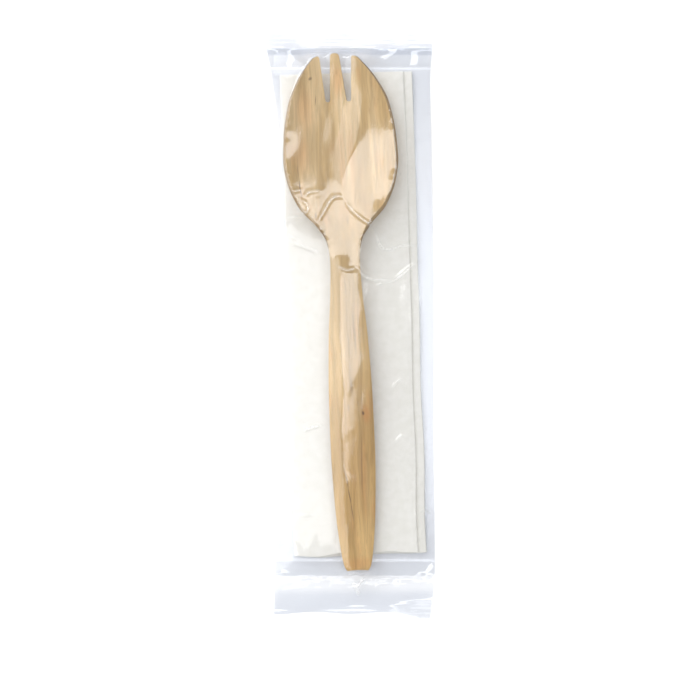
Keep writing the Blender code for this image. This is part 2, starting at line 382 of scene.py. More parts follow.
def spork_sheet(settings):
    """The middle sheet of the veneer as three strips that part at the slots."""
    handle = np.append(SPORK_LENGTH[0] + np.array([0, 0.1, 0.3, 0.6]), 0)[:-1]
    body = np.arange(handle[-1] + settings.row, SLOT_ROOT - settings.row / 2, settings.row)
    rows = np.concatenate([handle, body])
    root = np.array(ROOT_STEPS)
    steps = np.linspace(0, 1, 26) ** 0.92
    share = SLOT_ROOT
    verts = []
    faces = []
    ratio = (LEFT_SLOT[1][0] - LEFT_SLOT[0][0]) / 2 + LEFT_SLOT[0][0]
    split_root = abs(ratio) / float(through(SPORK_HALF_WIDTH, share))
    for strip, columns in enumerate(TINE_COLUMNS):
        s = np.linspace(0, 1, columns + 1)
        low_y = np.repeat(rows[:, None], columns + 1, axis=1)
        half = through(SPORK_HALF_WIDTH, low_y)
        split = half * split_root
        edges = ((-half, -split), (-split, split), (split, half))[strip]
        low_x = edges[0] + (edges[1] - edges[0]) * s
        round_tip = 0.9 * (np.abs(2 * s - 1) ** 4)
        tip = TINE_TIPS[strip] - round_tip * (0.5 if strip != 1 else 0.8)
        first = np.repeat((SLOT_ROOT + root)[:, None], columns + 1, axis=1)
        rest = first[-1] + (tip - first[-1]) * steps[1:, None]
        high_y = np.vstack([first, rest])
        half = through(SPORK_HALF_WIDTH, high_y)
        lean = tine_lean(high_y)
        left_slot = slot_edges(LEFT_SLOT, high_y)
        right_slot = slot_edges(RIGHT_SLOT, high_y)
        left, right = (
            (-half - lean, left_slot[0]),
            (left_slot[1], right_slot[0]),
            (right_slot[1], half - lean),
        )[strip]
        right = np.maximum(right, left + 0.3)
        high_x = left + (right - left) * s
        x = np.vstack([low_x, high_x])
        y = np.vstack([low_y, high_y])
        z = spork_height(x, y)
        faces += grid_faces(*x.shape, start=len(verts))
        verts += list(np.stack([x, y, z], axis=-1).reshape(-1, 3))
    return np.array(verts), faces


def round_the_edges(obj, thickness, rounding):
    solidify = obj.modifiers.new("Veneer", "SOLIDIFY")
    solidify.thickness = thickness
    solidify.offset = 0
    solidify.use_even_offset = True
    bevel = obj.modifiers.new("Tumbled edges", "BEVEL")
    bevel.width = rounding
    bevel.segments = 3
    bevel.limit_method = "ANGLE"
    bevel.angle_limit = math.radians(50)
    return settle(obj)


def mark_cut_edges_and_shade(obj):
    """Stores how far each point faces sideways, for the darker sawn edge of the veneer, which also paints the shade on
    its side walls.
    """
    mesh = obj.data
    normals = np.zeros(len(mesh.vertices) * 3)
    mesh.vertices.foreach_get("normal", normals)
    up = np.abs(normals.reshape(-1, 3)[:, 2])
    mask = 1 - ease(0.35, 0.82, up)
    layer = mesh.attributes.new("cut_edge", "FLOAT", "POINT")
    layer.data.foreach_set("value", mask.astype(np.float32))


def make_spork(settings):
    verts, faces = spork_sheet(settings)
    obj = mesh_object("birch_spork", turned(verts, SPORK_ORIGIN, SPORK_TURN), faces)
    bm = bmesh.new()
    bm.from_mesh(obj.data)
    bmesh.ops.remove_doubles(bm, verts=bm.verts, dist=0.01 * MM)
    bm.to_mesh(obj.data)
    bm.free()
    round_the_edges(obj, settings.thickness, settings.rounding)
    lowest = min(v.co.z for v in obj.data.vertices)
    obj.data.transform(Matrix.Translation((0, 0, SPORK_REST - lowest)))
    smooth(obj, 40)
    mark_cut_edges_and_shade(obj)
    obj.data.materials.clear()
    obj.data.materials.append(birch_veneer(settings))
    return obj


# Lines, knots and flecks in the veneer, in the spork's own frame: both ends, half width, darkness
WOOD_MARKS = [
    ((-8.1, 67.6), (-7.4, 68.4), 0.34, 0.55),
    ((-9.6, 69.4), (-9.4, 69.8), 0.25, 0.5),
    ((-6.1, 63.2), (-6.3, 60.8), 0.13, 0.55),
    ((-11.6, 40.2), (-11.0, 34.8), 0.12, 0.95),
    ((-11.9, 44.0), (-11.6, 40.2), 0.08, 0.4),
    ((-7.6, 31.3), (-7.6, 29.4), 0.24, 0.5),
    ((1.2, 29.7), (1.25, 27.2), 0.2, 0.5),
    ((-0.55, 12.5), (-0.35, 7.3), 0.1, 0.6),
    ((-0.35, 7.3), (-0.45, -2.3), 0.09, 0.5),
    ((-0.45, -2.3), (-0.3, -10.3), 0.1, 0.55),
    ((-0.3, -10.3), (-0.05, -19.2), 0.12, 0.6),
    ((1.3, 4.0), (1.85, -8.7), 0.3, 0.38),
    ((0.2, -14.8), (0.45, -19.5), 0.2, 0.5),
    ((-0.85, -22.1), (-0.7, -24.0), 0.16, 0.6),
    ((2.1, -21.6), (2.15, -23.0), 0.18, 0.4),
    ((3.35, -24.8), (3.4, -25.8), 0.26, 0.8),
    ((-2.55, -40.9), (-1.9, -45.8), 0.13, 0.6),
    ((-1.9, -45.8), (-1.1, -49.9), 0.15, 0.7),
    ((-1.1, -49.9), (-0.5, -54.4), 0.12, 0.7),
    ((2.6, -30.0), (2.35, -47.5), 0.22, 0.32),
]
# Warm blushes in the veneer: centre, half length, half width, strength
WOOD_BLUSHES = [
    ((4.1, -25.4), 2.4, 1.0, 0.7),
    ((-0.2, 67.0), 4.0, 1.2, 0.45),
    ((-9.5, 59.5), 5.0, 2.2, 0.35),
    ((-10.6, 47.0), 5.0, 1.6, 0.4),
    ((3.0, 44.0), 9.0, 1.0, 0.3),
    ((0.5, -66.5), 1.6, 3.2, 0.4),
    ((2.9, -42.0), 10.0, 0.9, 0.35),
]


def streak_mask(tree, where, start, end, half_width, softness):
    """1 along a short line in the surface and 0 away from it."""
    centre = ((start[0] + end[0]) / 2, (start[1] + end[1]) / 2, 0)
    along = (end[0] - start[0], end[1] - start[1])
    half_length = max(math.hypot(*along) / 2, 1e-3)
    turn = math.atan2(along[1], along[0])
    local = add(
        tree,
        "ShaderNodeMapping",
        {"vector_type": "TEXTURE"},
        Vector=where,
        Location=centre,
        Rotation=(0, 0, turn),
        Scale=(half_length, half_width, 1000),
    ).outputs[0]
    reach = add(tree, "ShaderNodeVectorMath", {"operation": "LENGTH"}, i0=local).outputs["Value"]
    return span(tree, reach, 1.0 + softness, 1.0 - softness)


def birch_veneer(settings):
    """Birch veneer, peeled from the log, hot-pressed and tumbled: a matt, pale tan wood.

    Its grain is fine and even, with short dark pores, a soft figure and a few small knots, and the cut
    edge is darker where the die crushed it; that darker edge also paints the shade on the rim and tine walls."""
    mat, tree = new_material("birch_veneer")
    where = millimetres(tree, SPORK_TURN, SPORK_ORIGIN)
    sway = add(
        tree,
        "ShaderNodeTexNoise",
        {"normalize": False},
        Vector=stretched(tree, where, 6.0, 16.0, 6.0),
        Scale=1.0,
        Detail=2.0,
    ).outputs["Color"]
    sway = add(tree, "ShaderNodeVectorMath", {"operation": "SCALE"}, i0=sway, Scale=0.55).outputs[0]
    where = add(tree, "ShaderNodeVectorMath", {"operation": "ADD"}, i0=where, i1=sway).outputs[0]
    along = add(tree, "ShaderNodeSeparateXYZ", Vector=where).outputs[1]

    tone = noise(tree, stretched(tree, where, 5.0, 55.0, 5.0), detail=3.0)
    pale, deep = list(settings.pale) + [1], list(settings.deep) + [1]
    colour = blend(tree, span(tree, tone, 0.35, 0.66), deep, pale)
    golden = span(tree, along, 20.0, -55.0, 0.0, 0.75)
    colour = blend(tree, golden, colour, blend(tree, 1.0, colour, linear("#FFEFC2"), "MULTIPLY"))

    figure = noise(tree, stretched(tree, where, 0.9, 46.0, 1.2), detail=2.0, distortion=0.6)
    figure = span(tree, figure, 0.32, 0.68, 0.85, 1.07)
    fibres = noise(tree, stretched(tree, where, 0.16, 9.0, 0.3), detail=3.0, roughness=0.6)
    fibres = span(tree, fibres, 0.3, 0.7, 0.93, 1.05)
    colour = blend(tree, 1.0, colour, maths(tree, "MULTIPLY", figure, fibres), "MULTIPLY")

    pores = noise(tree, stretched(tree, where, 0.24, 2.6, 0.4), detail=1.0)
    pores = span(tree, pores, 0.66, 0.75)
    colour = blend(tree, maths(tree, "MULTIPLY", pores, 0.3), colour, linear("#8A6437"))

    blush = noise(tree, stretched(tree, where, 3.2, 13.0, 3.0), detail=2.0)
    blush = span(tree, blush, 0.52, 0.72, 0.0, 0.3)
    for (x, y), half_length, half_width, strength in WOOD_BLUSHES:
        spot = streak_mask(tree, where, (x, y - half_length), (x, y + half_length), half_width, 0.7)
        blush = maths(tree, "MAXIMUM", blush, maths(tree, "MULTIPLY", spot, strength))
    colour = blend(tree, blush, colour, blend(tree, 1.0, colour, linear("#FFDCC0"), "MULTIPLY"))

    dark = None
    for start, end, half_width, darkness in WOOD_MARKS:
        spot = maths(tree, "MULTIPLY", streak_mask(tree, where, start, end, half_width, 0.45), darkness)
        dark = spot if dark is None else maths(tree, "MAXIMUM", dark, spot)
    colour = blend(tree, dark, colour, linear("#54371B"))

    # Darker sideways faces: the crushed cut edge, plus painted shade on the rim and tine walls
    cut = add(tree, "ShaderNodeAttribute", {"attribute_name": "cut_edge"}).outputs["Fac"]
    colour = blend(tree, maths(tree, "MULTIPLY", cut, 0.72), colour, linear("#7A6040"))

    height = maths(tree, "SUBTRACT", fibres, maths(tree, "ADD", maths(tree, "MULTIPLY", pores, 0.5), dark))
    bump = add(tree, "ShaderNodeBump", Height=height, Strength=0.35, Distance=0.06 * MM)
    shader = add(
        tree,
        "ShaderNodeBsdfPrincipled",
        Base_Color=colour,
        Roughness=span(tree, figure, 0.85, 1.07, 0.66, 0.54),
        Normal=bump.outputs[0],
    )
    shader.inputs["Specular IOR Level"].default_value = 0.35
    add(tree, "ShaderNodeOutputMaterial", Surface=shader.outputs[0])
    return mat


# Napkin


def folds():
    """Each fold in turn: its axis, its crease and the thickness of the stack that it bends."""
    stack = PAPER
    plan = []
    folded_twice = 2 * NAPKIN_WIDTH - NAPKIN_STEP
    for axis, crease in ((1, NAPKIN_LENGTH), (0, 2 * folded_twice), (0, folded_twice), (0, NAPKIN_WIDTH)):
        plan.append((axis, crease, stack))
        stack = 2 * stack + PLY_GAP
    return plan, stack


def fold_over(points, axis, crease, stack):
    """Turns what lies past the crease over onto the rest, round a bend as thick as the stack."""
    reach = math.pi * (stack + PLY_GAP) / 4
    along, height = points[..., axis].copy(), points[..., 2].copy()
    radius = stack + PLY_GAP / 2 - height
    angle = np.clip((along - crease + reach) / (2 * reach), 0, 1) * math.pi
    past = np.maximum(along - crease - reach, 0)
    bent = along > crease - reach
    points[..., axis] = np.where(bent, crease - reach + radius * np.sin(angle) - past, along)
    points[..., 2] = np.where(bent, stack + PLY_GAP / 2 - radius * np.cos(angle), height)


def fold_lines(plan, axis, length, step):
    """Where the flat sheet needs an edge: round every bend, and every step between the bends."""
    lines = {0.0}
    for fold_axis, crease, stack in reversed(plan):
        if fold_axis != axis:
            continue
        reach = math.pi * (stack + PLY_GAP) / 4
        kept = {p for p in lines if p < crease - reach}
        bend = {crease + reach * (2 * k / BEND_SEGMENTS - 1) for k in range(BEND_SEGMENTS + 1)}
        lines = kept | bend | {2 * crease - p for p in kept if 2 * crease - p < length}
    lines = sorted(lines | {length})
    filled = [lines[0]]
    for start, end in zip(lines, lines[1:]):
        parts = max(1, round((end - start) / step))
        filled += [start + (end - start) * (k + 1) / parts for k in range(parts)]
    return np.array(filled)


def napkin_soften(points, height, amount):
    """Lets the flat packet breathe: slow waves, wavy edges, lifted loose plies and a crushed corner."""
    x, y, z = (points[..., k] for k in range(3))
    share = z / height
    slow = ripples(x, y, 26, 11, stretch=1.6)
    fine = ripples(x, y, 7.5, 12)
    crush = np.exp(-(((x - 16.0) / 5.0) ** 2) - ((y + 58.0) / 7.5) ** 2)
    crumple = np.abs(ripples(x, y, 4.5, 13)) * crush
    points[..., 2] = z + share * amount * (0.45 * slow + 0.16 * fine - 0.1) + share * 0.22 * crumple
    loose = ease(58, 67, -y)
    points[..., 1] = y + 0.25 * ripples(x, z * 9, 16, 14) * loose + share * 0.5 * loose
    points[..., 0] = x + 0.12 * ripples(y, z * 5, 30, 15)


def make_napkin(settings):
    plan, height = folds()
    flat_length = 2 * NAPKIN_LENGTH
    flat_width = 4 * (2 * NAPKIN_WIDTH - NAPKIN_STEP)
    across = fold_lines(plan, 0, flat_width, settings.step / MM)
    along = fold_lines(plan, 1, flat_length, settings.step / MM * 1.25)
    u, v = np.meshgrid(across, along)
    verts = []
    for level in (PAPER, 0.0):
        points = np.stack([u, v, np.full_like(u, level)], axis=-1)
        for axis, crease, stack in plan:
            fold_over(points, axis, crease, stack)
        points[..., 0] = NAPKIN_WIDTH / 2 - points[..., 0]
        points[..., 1] -= NAPKIN_LENGTH / 2
        napkin_soften(points, height, settings.softness / MM)
        verts.append(turned(points, NAPKIN_CENTRE, NAPKIN_TURN).reshape(-1, 3))
    rows, columns = u.shape
    count = rows * columns
    faces = grid_faces(rows, columns, flip=True) + grid_faces(rows, columns, start=count)
    rim = [i for i in range(columns)] + [j * columns + columns - 1 for j in range(1, rows)]
    rim += [count - 1 - i for i in range(1, columns)] + [j * columns for j in range(rows - 2, 0, -1)]
    faces += [(a, b, b + count, a + count) for a, b in zip(rim, rim[1:] + rim[:1])]
    obj = mesh_object("tissue_napkin", np.vstack(verts), faces)
    bm = bmesh.new()
    bm.from_mesh(obj.data)
    bmesh.ops.recalc_face_normals(bm, faces=bm.faces)
    bm.to_mesh(obj.data)
    bm.free()
    obj.data.transform(Matrix.Translation((0, 0, NAPKIN_REST)))
    smooth(obj, 50)
    obj.data.materials.append(tissue_paper(settings))
    return obj, (flat_width * MM, flat_length * MM)


def tissue_paper(settings):
    """Soft crepe tissue, creped off a hot drum: matt off-white with fine cross ridges and cloudy fibres."""
    mat, tree = new_material("tissue_paper")
    where = millimetres(tree, NAPKIN_TURN, NAPKIN_CENTRE)
    cloud = noise(tree, stretched(tree, where, 2.2, 2.2, 2.2), detail=4.0, roughness=0.65)
    base = list(settings.colour) + [1]
    colour = blend(tree, span(tree, cloud, 0.3, 0.7, 0.0, 1.0), blend(tree, 1.0, base, linear("#F8F8F6"), "MULTIPLY"), base)
    crepe = noise(tree, stretched(tree, where, 1.3, 0.34, 1.0), detail=2.0)
    fibre = noise(tree, stretched(tree, where, 0.22, 0.22, 0.22), detail=2.0)
    height = maths(tree, "ADD", maths(tree, "MULTIPLY", crepe, 0.7), maths(tree, "MULTIPLY", fibre, 0.3))
    bump = add(tree, "ShaderNodeBump", Height=height, Strength=0.25, Distance=0.08 * MM)
    shader = add(tree, "ShaderNodeBsdfPrincipled", Base_Color=colour, Roughness=0.92, Normal=bump.outputs[0])
    shader.inputs["Specular IOR Level"].default_value = 0.15
    shader.inputs["Sheen Weight"].default_value = 0.08
    add(tree, "ShaderNodeOutputMaterial", Surface=shader.outputs[0])
    return mat


# Film sleeve


def back_height(y):
    """How far the sleeve's back is above the table: flat under the contents, raised at the end seals."""
    top = TOP_LIFT * ease(FLAT_BACK[1], CAVITY[1], y)
    bottom = BOTTOM_LIFT * ease(-FLAT_BACK[0], -CAVITY[0], -y) * ease(*BOTTOM_DROOP, y)
    return top + bottom


def sleeve_plan(settings):
    """Where the sleeve's grid stands in plan: rows up the pack, columns from left to right."""
    step = settings.cell / MM
    columns = round(44 / step) + 1
    cavity = np.linspace(*CAVITY, round((CAVITY[1] - CAVITY[0]) / step) + 1)
    nominal = np.linspace(SLEEVE_TOP[0][0], SLEEVE_TOP[-1][0], columns)
    bottom = through(SLEEVE_BOTTOM, nominal)
    top = through(SLEEVE_TOP, nominal)
    bottom_share = np.linspace(0, 1, round(10.6 / settings.seal_cell * MM) + 1)[:, None]
    top_share = np.linspace(0, 1, round(4.6 / settings.seal_cell * MM) + 1)[:, None]
    y = np.vstack(
        [
            (bottom + (cavity[0] - bottom) * bottom_share)[:-1],
            np.repeat(cavity[:, None], columns, axis=1),
            (cavity[-1] + (top - cavity[-1]) * top_share)[1:],
        ]
    )
    left, right = through(SLEEVE_LEFT, y), through(SLEEVE_RIGHT, y)
    x = left + (right - left) * np.linspace(0, 1, columns)
    return x, y, (len(bottom_share) - 1, len(top_share) - 1)


def surface_tree(obj):
    bm = bmesh.new()
    bm.from_mesh(obj.data)
    tree = BVHTree.FromBMesh(bm)
    bm.free()
    return tree


def content_height(contents, x, y):
    """The top of the contents under each point of the grid, spread to its neighbours, in millimetres."""
    trees = [surface_tree(obj) for obj in contents]
    height = np.full(x.shape, -1.0)
    down = Vector((0, 0, -1))
    for index in np.ndindex(x.shape):
        start = Vector((x[index] * MM, y[index] * MM, 0.1))
        for tree in trees:
            hit = tree.ray_cast(start, down)[0]
            if hit:
                height[index] = max(height[index], hit.z / MM)
    return spread(height)


def spread(height):
    """The highest of each point and its eight neighbours."""
    out = height.copy()
    for dj, di in ((0, 1), (0, -1), (1, 0), (-1, 0)):
        out = np.maximum(out, np.roll(out, (dj, di), axis=(0, 1)))
    return out


def pulled_tight(need, fixed, held, rounds, lift=0.0):
    """A film pulled tight over what it covers: at least need, flat between, and fixed where held."""
    height = np.where(held, fixed, np.maximum(need, fixed))
    for _ in range(rounds):
        mean = height.copy()
        mean[1:-1, 1:-1] = (height[:-2, 1:-1] + height[2:, 1:-1] + height[1:-1, :-2] + height[1:-1, 2:]) / 4
        height = np.where(held, fixed, np.maximum(need, mean + lift))
    return height


def distance_to_path(x, y, path):
    """Each point's distance to a line through several points, and where along it the foot falls, 0 to 1."""
    path = np.array(path, dtype=float)
    steps = np.hypot(*np.diff(path, axis=0).T)
    total = steps.sum()
    best = np.full(x.shape, 1e9)
    where = np.zeros(x.shape)
    travelled = 0.0
    for (ax, ay), (bx, by), length in zip(path, path[1:], steps):
        t = np.clip(((x - ax) * (bx - ax) + (y - ay) * (by - ay)) / length**2, 0, 1)
        gap = np.hypot(x - ax - t * (bx - ax), y - ay - t * (by - ay))
        closer = gap < best
        best = np.where(closer, gap, best)
        where = np.where(closer, (travelled + t * length) / total, where)
        travelled += length
    return best, where


def smooth_path(points, steps=6):
    """More points along a rounded line through a few."""
    points = np.array(points, dtype=float)
    if len(points) < 3:
        return points
    t = np.arange(len(points))
    fine = np.linspace(0, len(points) - 1, (len(points) - 1) * steps + 1)
    return np.stack([through(list(zip(t, points[:, k])), fine) for k in range(2)], axis=-1)


# Sharp folds that stand in the film: the line they follow, their height and their half width
CREASES = [
    ([(-9.0, 27.8), (-7.4, 30.6), (-5.8, 33.4), (-4.5, 34.7), (-2.9, 34.9), (-1.7, 34.1)], 0.32, 0.42),
    ([(-1.7, 34.1), (0.25, 31.2), (2.8, 28.95), (5.05, 27.35), (6.4, 25.9)], 0.3, 0.4),
    ([(-15.8, 36.2), (-13.8, 36.6)], 0.24, 0.4),
    ([(-12.6, 35.0), (-10.95, 36.15), (-8.1, 36.4)], 0.3, 0.4),
    ([(-14.2, 34.3), (-12.4, 33.1), (-11.75, 31.5), (-12.7, 30.2), (-15.1, 31.7)], 0.28, 0.36),
    ([(6.5, 25.75), (7.3, 23.5), (8.25, 21.3), (10.2, 20.3), (12.4, 20.85), (14.3, 21.5), (19.5, 21.8)], 0.3, 0.36),
    ([(1.85, 15.6), (2.8, 13.97), (4.7, 12.5), (7.3, 12.0), (11.4, 11.7), (13.7, 13.0), (16.6, 15.4), (19.8, 17.6)],
     0.34, 0.4),
    ([(7.3, 10.4), (9.8, 11.1), (12.1, 11.9)], 0.22, 0.35),
    ([(-4.2, 15.9), (-1.0, 14.6), (1.9, 15.3)], 0.26, 0.4),
    ([(-17.4, 22.6), (-12.9, 21.2), (-8.2, 19.0)], 0.2, 0.5),
    ([(-18.4, 25.1), (-13.2, 22.2)], 0.2, 0.45),
    ([(-18.7, 29.1), (-15.4, 29.3), (-12.2, 29.0)], 0.2, 0.4),
    ([(-13.2, -29.9), (-10.95, -28.97), (-8.1, -28.2)], 0.34, 0.34),
    ([(-15.1, -53.1), (-10.0, -53.07)], 0.3, 0.3),
    ([(13.0, 43.2), (13.8, 40.6)], 0.2, 0.4),
    ([(11.0, -19.5), (12.6, -16.6), (14.2, -15.7), (15.5, -18.6)], 0.16, 0.4),
    ([(17.0, -33.0), (14.4, -31.2), (12.3, -33.4)], 0.16, 0.4),
    ([(19.4, -52.4), (21.0, -52.0), (22.4, -53.4)], 0.3, 0.34),
    ([(18.7, -55.0), (19.6, -58.4), (18.4, -61.3)], 0.22, 0.4),
    ([(0.3, -71.9), (1.5, -73.4), (2.3, -75.8)], 0.5, 0.45),
    ([(3.8, -70.8), (2.4, -72.4), (1.7, -73.7)], 0.45, 0.4),
]
# Long shallow tents in the film: the line that they follow and how far it is held up above the pulled film
TENTS = [
    ([(4.0, 66.0), (2.9, 57.0), (1.4, 48.8), (-0.7, 44.6), (-1.5, 41.8), (-1.8, 38.6), (-1.8, 35.5)], 0.75),
    ([(3.1, 39.5), (5.05, 37.0), (7.3, 34.4), (8.6, 31.8)], 0.35),
]


def make_sleeve(settings, contents):
    x, y, (bottom_rows, top_rows) = sleeve_plan(settings)
    rows, columns = x.shape
    back = back_height(y)
    sway = 0.35 * np.cos(math.tau * (x + 2.0) / 23.0) * ease(74, 79, y)
    sway += 0.18 * ripples(x, y, 14, 21) * (ease(74, 78, y) + ease(70, 74, -y) * ease(81.5, 79, -y))
    held = np.zeros(x.shape, dtype=bool)
    held[: bottom_rows + 1] = True
    held[-top_rows - 1 :] = True
    floor = np.where(held, back + 2 * FILM + HAIRLINE, back + SIDE_FOLD)
    side = held.copy()
    side[:, 0] = True
    side[:, -1] = True
    need = np.maximum(content_height(contents, x, y) + settings.clearance / MM, floor)
    need[:, 0] = floor[:, 0]
    need[:, -1] = floor[:, -1]
    front = pulled_tight(need, floor, side, settings.rounds, lift=0.0004)
    raised = need.copy()
    for path, lift in TENTS:
        gap, where = distance_to_path(x, y, smooth_path(path))
        on_line = (gap < 0.4) & ~side
        target = front + lift * np.sin(np.clip(where, 0.02, 0.98) * math.pi) ** 0.5
        raised = np.where(on_line, np.maximum(raised, target), raised)
    front = pulled_tight(raised, floor, side, settings.rounds // 3, lift=0.0004)
    free = 1 - np.exp(-((np.minimum(x - x[:, :1], x[:, -1:] - x) / 1.6) ** 2))
    free = free * ease(0, 6, np.minimum(y - CAVITY[0], CAVITY[1] - y))
    wave = settings.waves / MM
    front = front + free * wave * (0.55 * ripples(x, y, 13, 31, 1.5) + 0.35 * ripples(x, y, 5.5, 32, 1.8))
    fold = np.zeros(x.shape)
    for path, height, half_width in CREASES:
        gap, where = distance_to_path(x, y, smooth_path(path))
        ends = np.clip(np.minimum(where, 1 - where) * 5, 0, 1)
        profile = np.maximum(1 - gap / (2.2 * half_width), 0) ** 2
        fold = np.maximum(fold, height * profile * (0.25 + 0.75 * ends))
    front = np.maximum(front + fold * free, need)
    return x, y, front, back, sway, fold, held, (bottom_rows, top_rows)


def crinkle(x, y):
    """The small buckles where the filled tube is pulled flat into the end seals."""
    low = np.exp(-(((y + 72.0) / 1.7) ** 2))
    teeth = np.abs(ripples(x, y * 0.8, 4.2, 41, waves=8)) + 0.6 * np.abs(ripples(x, y, 2.6, 42, waves=8))
    top = np.exp(-(((y - 75.6) / 1.5) ** 2))
    return 0.34 * low * teeth + 0.12 * top * np.abs(ripples(x, y, 4.0, 43))


def corners(x, y):
    """The lower right corner, turned up along a crease; the left corner, which curls down, is not shaped."""
    right = np.clip(((x - 11.5) * 0.16 - (y + 77.9)) / 4.5, 0, 1.2) * ease(9.8, 13.5, x)
    return 1.9 * right**1.15


def make_film(settings, contents):
    x, y, front, back, sway, fold, held, (bottom_rows, top_rows) = make_sleeve(settings, contents)
    rows, columns = x.shape
    buckles = crinkle(x, y) + corners(x, y)
    shift = sway + buckles * np.where(held, 1, ease(0, 3, CAVITY[0] + 3 - y))
    sealed_fold = np.where(held, fold, 0)
    outer_front = front + shift + sealed_fold
    outer_back = np.where(held, outer_front - 2 * FILM - HAIRLINE, back + sway * ease(70, 76, y))
    outer_back = np.maximum(outer_back, 0.0)
    outer_front = np.maximum(outer_front, outer_back + 2 * FILM + HAIRLINE)
    thin = slice(None, None, settings.back_stride)
    outer = shell(x, y, outer_front, outer_back, thin)
    inside = slice(bottom_rows, rows - top_rows)
    inner_x = x[inside].copy()
    inner_x[:, 0] += 0.1
    inner_x[:, -1] -= 0.1
    inner = shell(inner_x, y[inside], outer_front[inside] - FILM, outer_back[inside] + FILM, thin)
    verts = np.vstack([outer[0], inner[0]]) * MM
    faces = outer[1] + [tuple(i + len(outer[0]) for i in face[::-1]) for face in inner[1]]
    obj = mesh_object("film_sleeve_clear", verts, faces)
    # Crease mask: stress whitening of the folded film, plus a painted highlight along each crease
    white = np.zeros(len(verts))
    white[: fold.size] = np.clip(fold / 0.3, 0, 1).ravel() ** 1.5
    layer = obj.data.attributes.new("crease", "FLOAT", "POINT")
    layer.data.foreach_set("value", white.astype(np.float32))
    return obj


def shell(x, y, front, back, thin):
    """A closed shell of a fine front and a back with fewer columns, joined round the rim."""
    rows, columns = x.shape
    kept = np.unique(np.append(np.arange(columns)[thin], columns - 1))
    verts = list(np.stack([x, y, front], axis=-1).reshape(-1, 3))
    faces = grid_faces(rows, columns)
    inner_kept = kept[1:-1]
    start = len(verts)
    back_points = np.stack([x, y, back], axis=-1)
    ids = np.zeros((rows, columns), dtype=int) - 1
    for j in range(rows):
        whole = j in (0, rows - 1)
        for i in range(columns) if whole else kept:
            ids[j, i] = len(verts)
            verts.append(back_points[j, i])
    for j in range(rows - 1):
        for a, b in zip(kept, kept[1:]):
            low = [ids[j, i] for i in range(a, b + 1) if ids[j, i] >= 0]
            high = [ids[j + 1, i] for i in range(a, b + 1) if ids[j + 1, i] >= 0]
            faces.append(tuple(high + low[::-1]))
    for j in range(rows - 1):
        faces.append((j * columns, (j + 1) * columns, ids[j + 1, 0], ids[j, 0]))
        edge = j * columns + columns - 1
        faces.append((edge, ids[j, columns - 1], ids[j + 1, columns - 1], edge + columns))
    for i in range(columns - 1):
        faces.append((i, ids[0, i], ids[0, i + 1], i + 1))
        last = (rows - 1) * columns + i
        faces.append((last, last + 1, ids[rows - 1, i + 1], ids[rows - 1, i]))
    return np.array(verts), faces


def lap_flap(back):
    """Where the web's two edges are sealed over each other along the back: the back is returned unchanged, with no lap
    fold made.
    """
    return back


def clear_film(settings):
    """Cast polypropylene film, clear and glossy: it shows as reflections, a slight grey cast and a faint haze."""
    mat, tree = new_material("clear_film")
    where = millimetres(tree)
    orange_peel = noise(tree, stretched(tree, where, 2.4, 6.0, 4.0), detail=3.0, roughness=0.55)
    bump = add(tree, "ShaderNodeBump", Height=orange_peel, Strength=0.35, Distance=0.12 * MM)
    end = add(tree, "ShaderNodeSeparateXYZ", Vector=where).outputs["Y"]
    weld = maths(tree, "ADD", span(tree, end, 74.2, 75.0), span(tree, end, -73.0, -76.0))
    cast = list(settings.cast) + [1]
    seen = blend(tree, weld, cast, [c * c for c in cast])
    see = add(tree, "ShaderNodeBsdfTransparent", Color=seen)
    gloss = add(tree, "ShaderNodeBsdfGlossy", Color=(1, 1, 1, 1), Roughness=0.12, Normal=bump.outputs[0])
    facing = add(tree, "ShaderNodeLayerWeight", Blend=0.5).outputs["Facing"]
    share = maths(tree, "MULTIPLY", maths(tree, "POWER", facing, 5.0), 0.9)
    share = maths(tree, "MULTIPLY", maths(tree, "ADD", share, 0.045), settings.gloss)
    mixed = add(tree, "ShaderNodeMixShader", Fac=share, i1=see.outputs[0], i2=gloss.outputs[0])
    # White on the creases: partly stress whitening, partly a painted highlight
    white = add(tree, "ShaderNodeBsdfDiffuse", Color=linear("#F6F6F4"))
    crease = add(tree, "ShaderNodeAttribute", {"attribute_name": "crease"}).outputs["Fac"]
    mixed = add(
        tree,
        "ShaderNodeMixShader",
        Fac=maths(tree, "MULTIPLY", crease, settings.crease_white_and_highlight),
        i1=mixed.outputs[0],
        i2=white.outputs[0],
    )
    add(tree, "ShaderNodeOutputMaterial", Surface=mixed.outputs[0])
    return mat


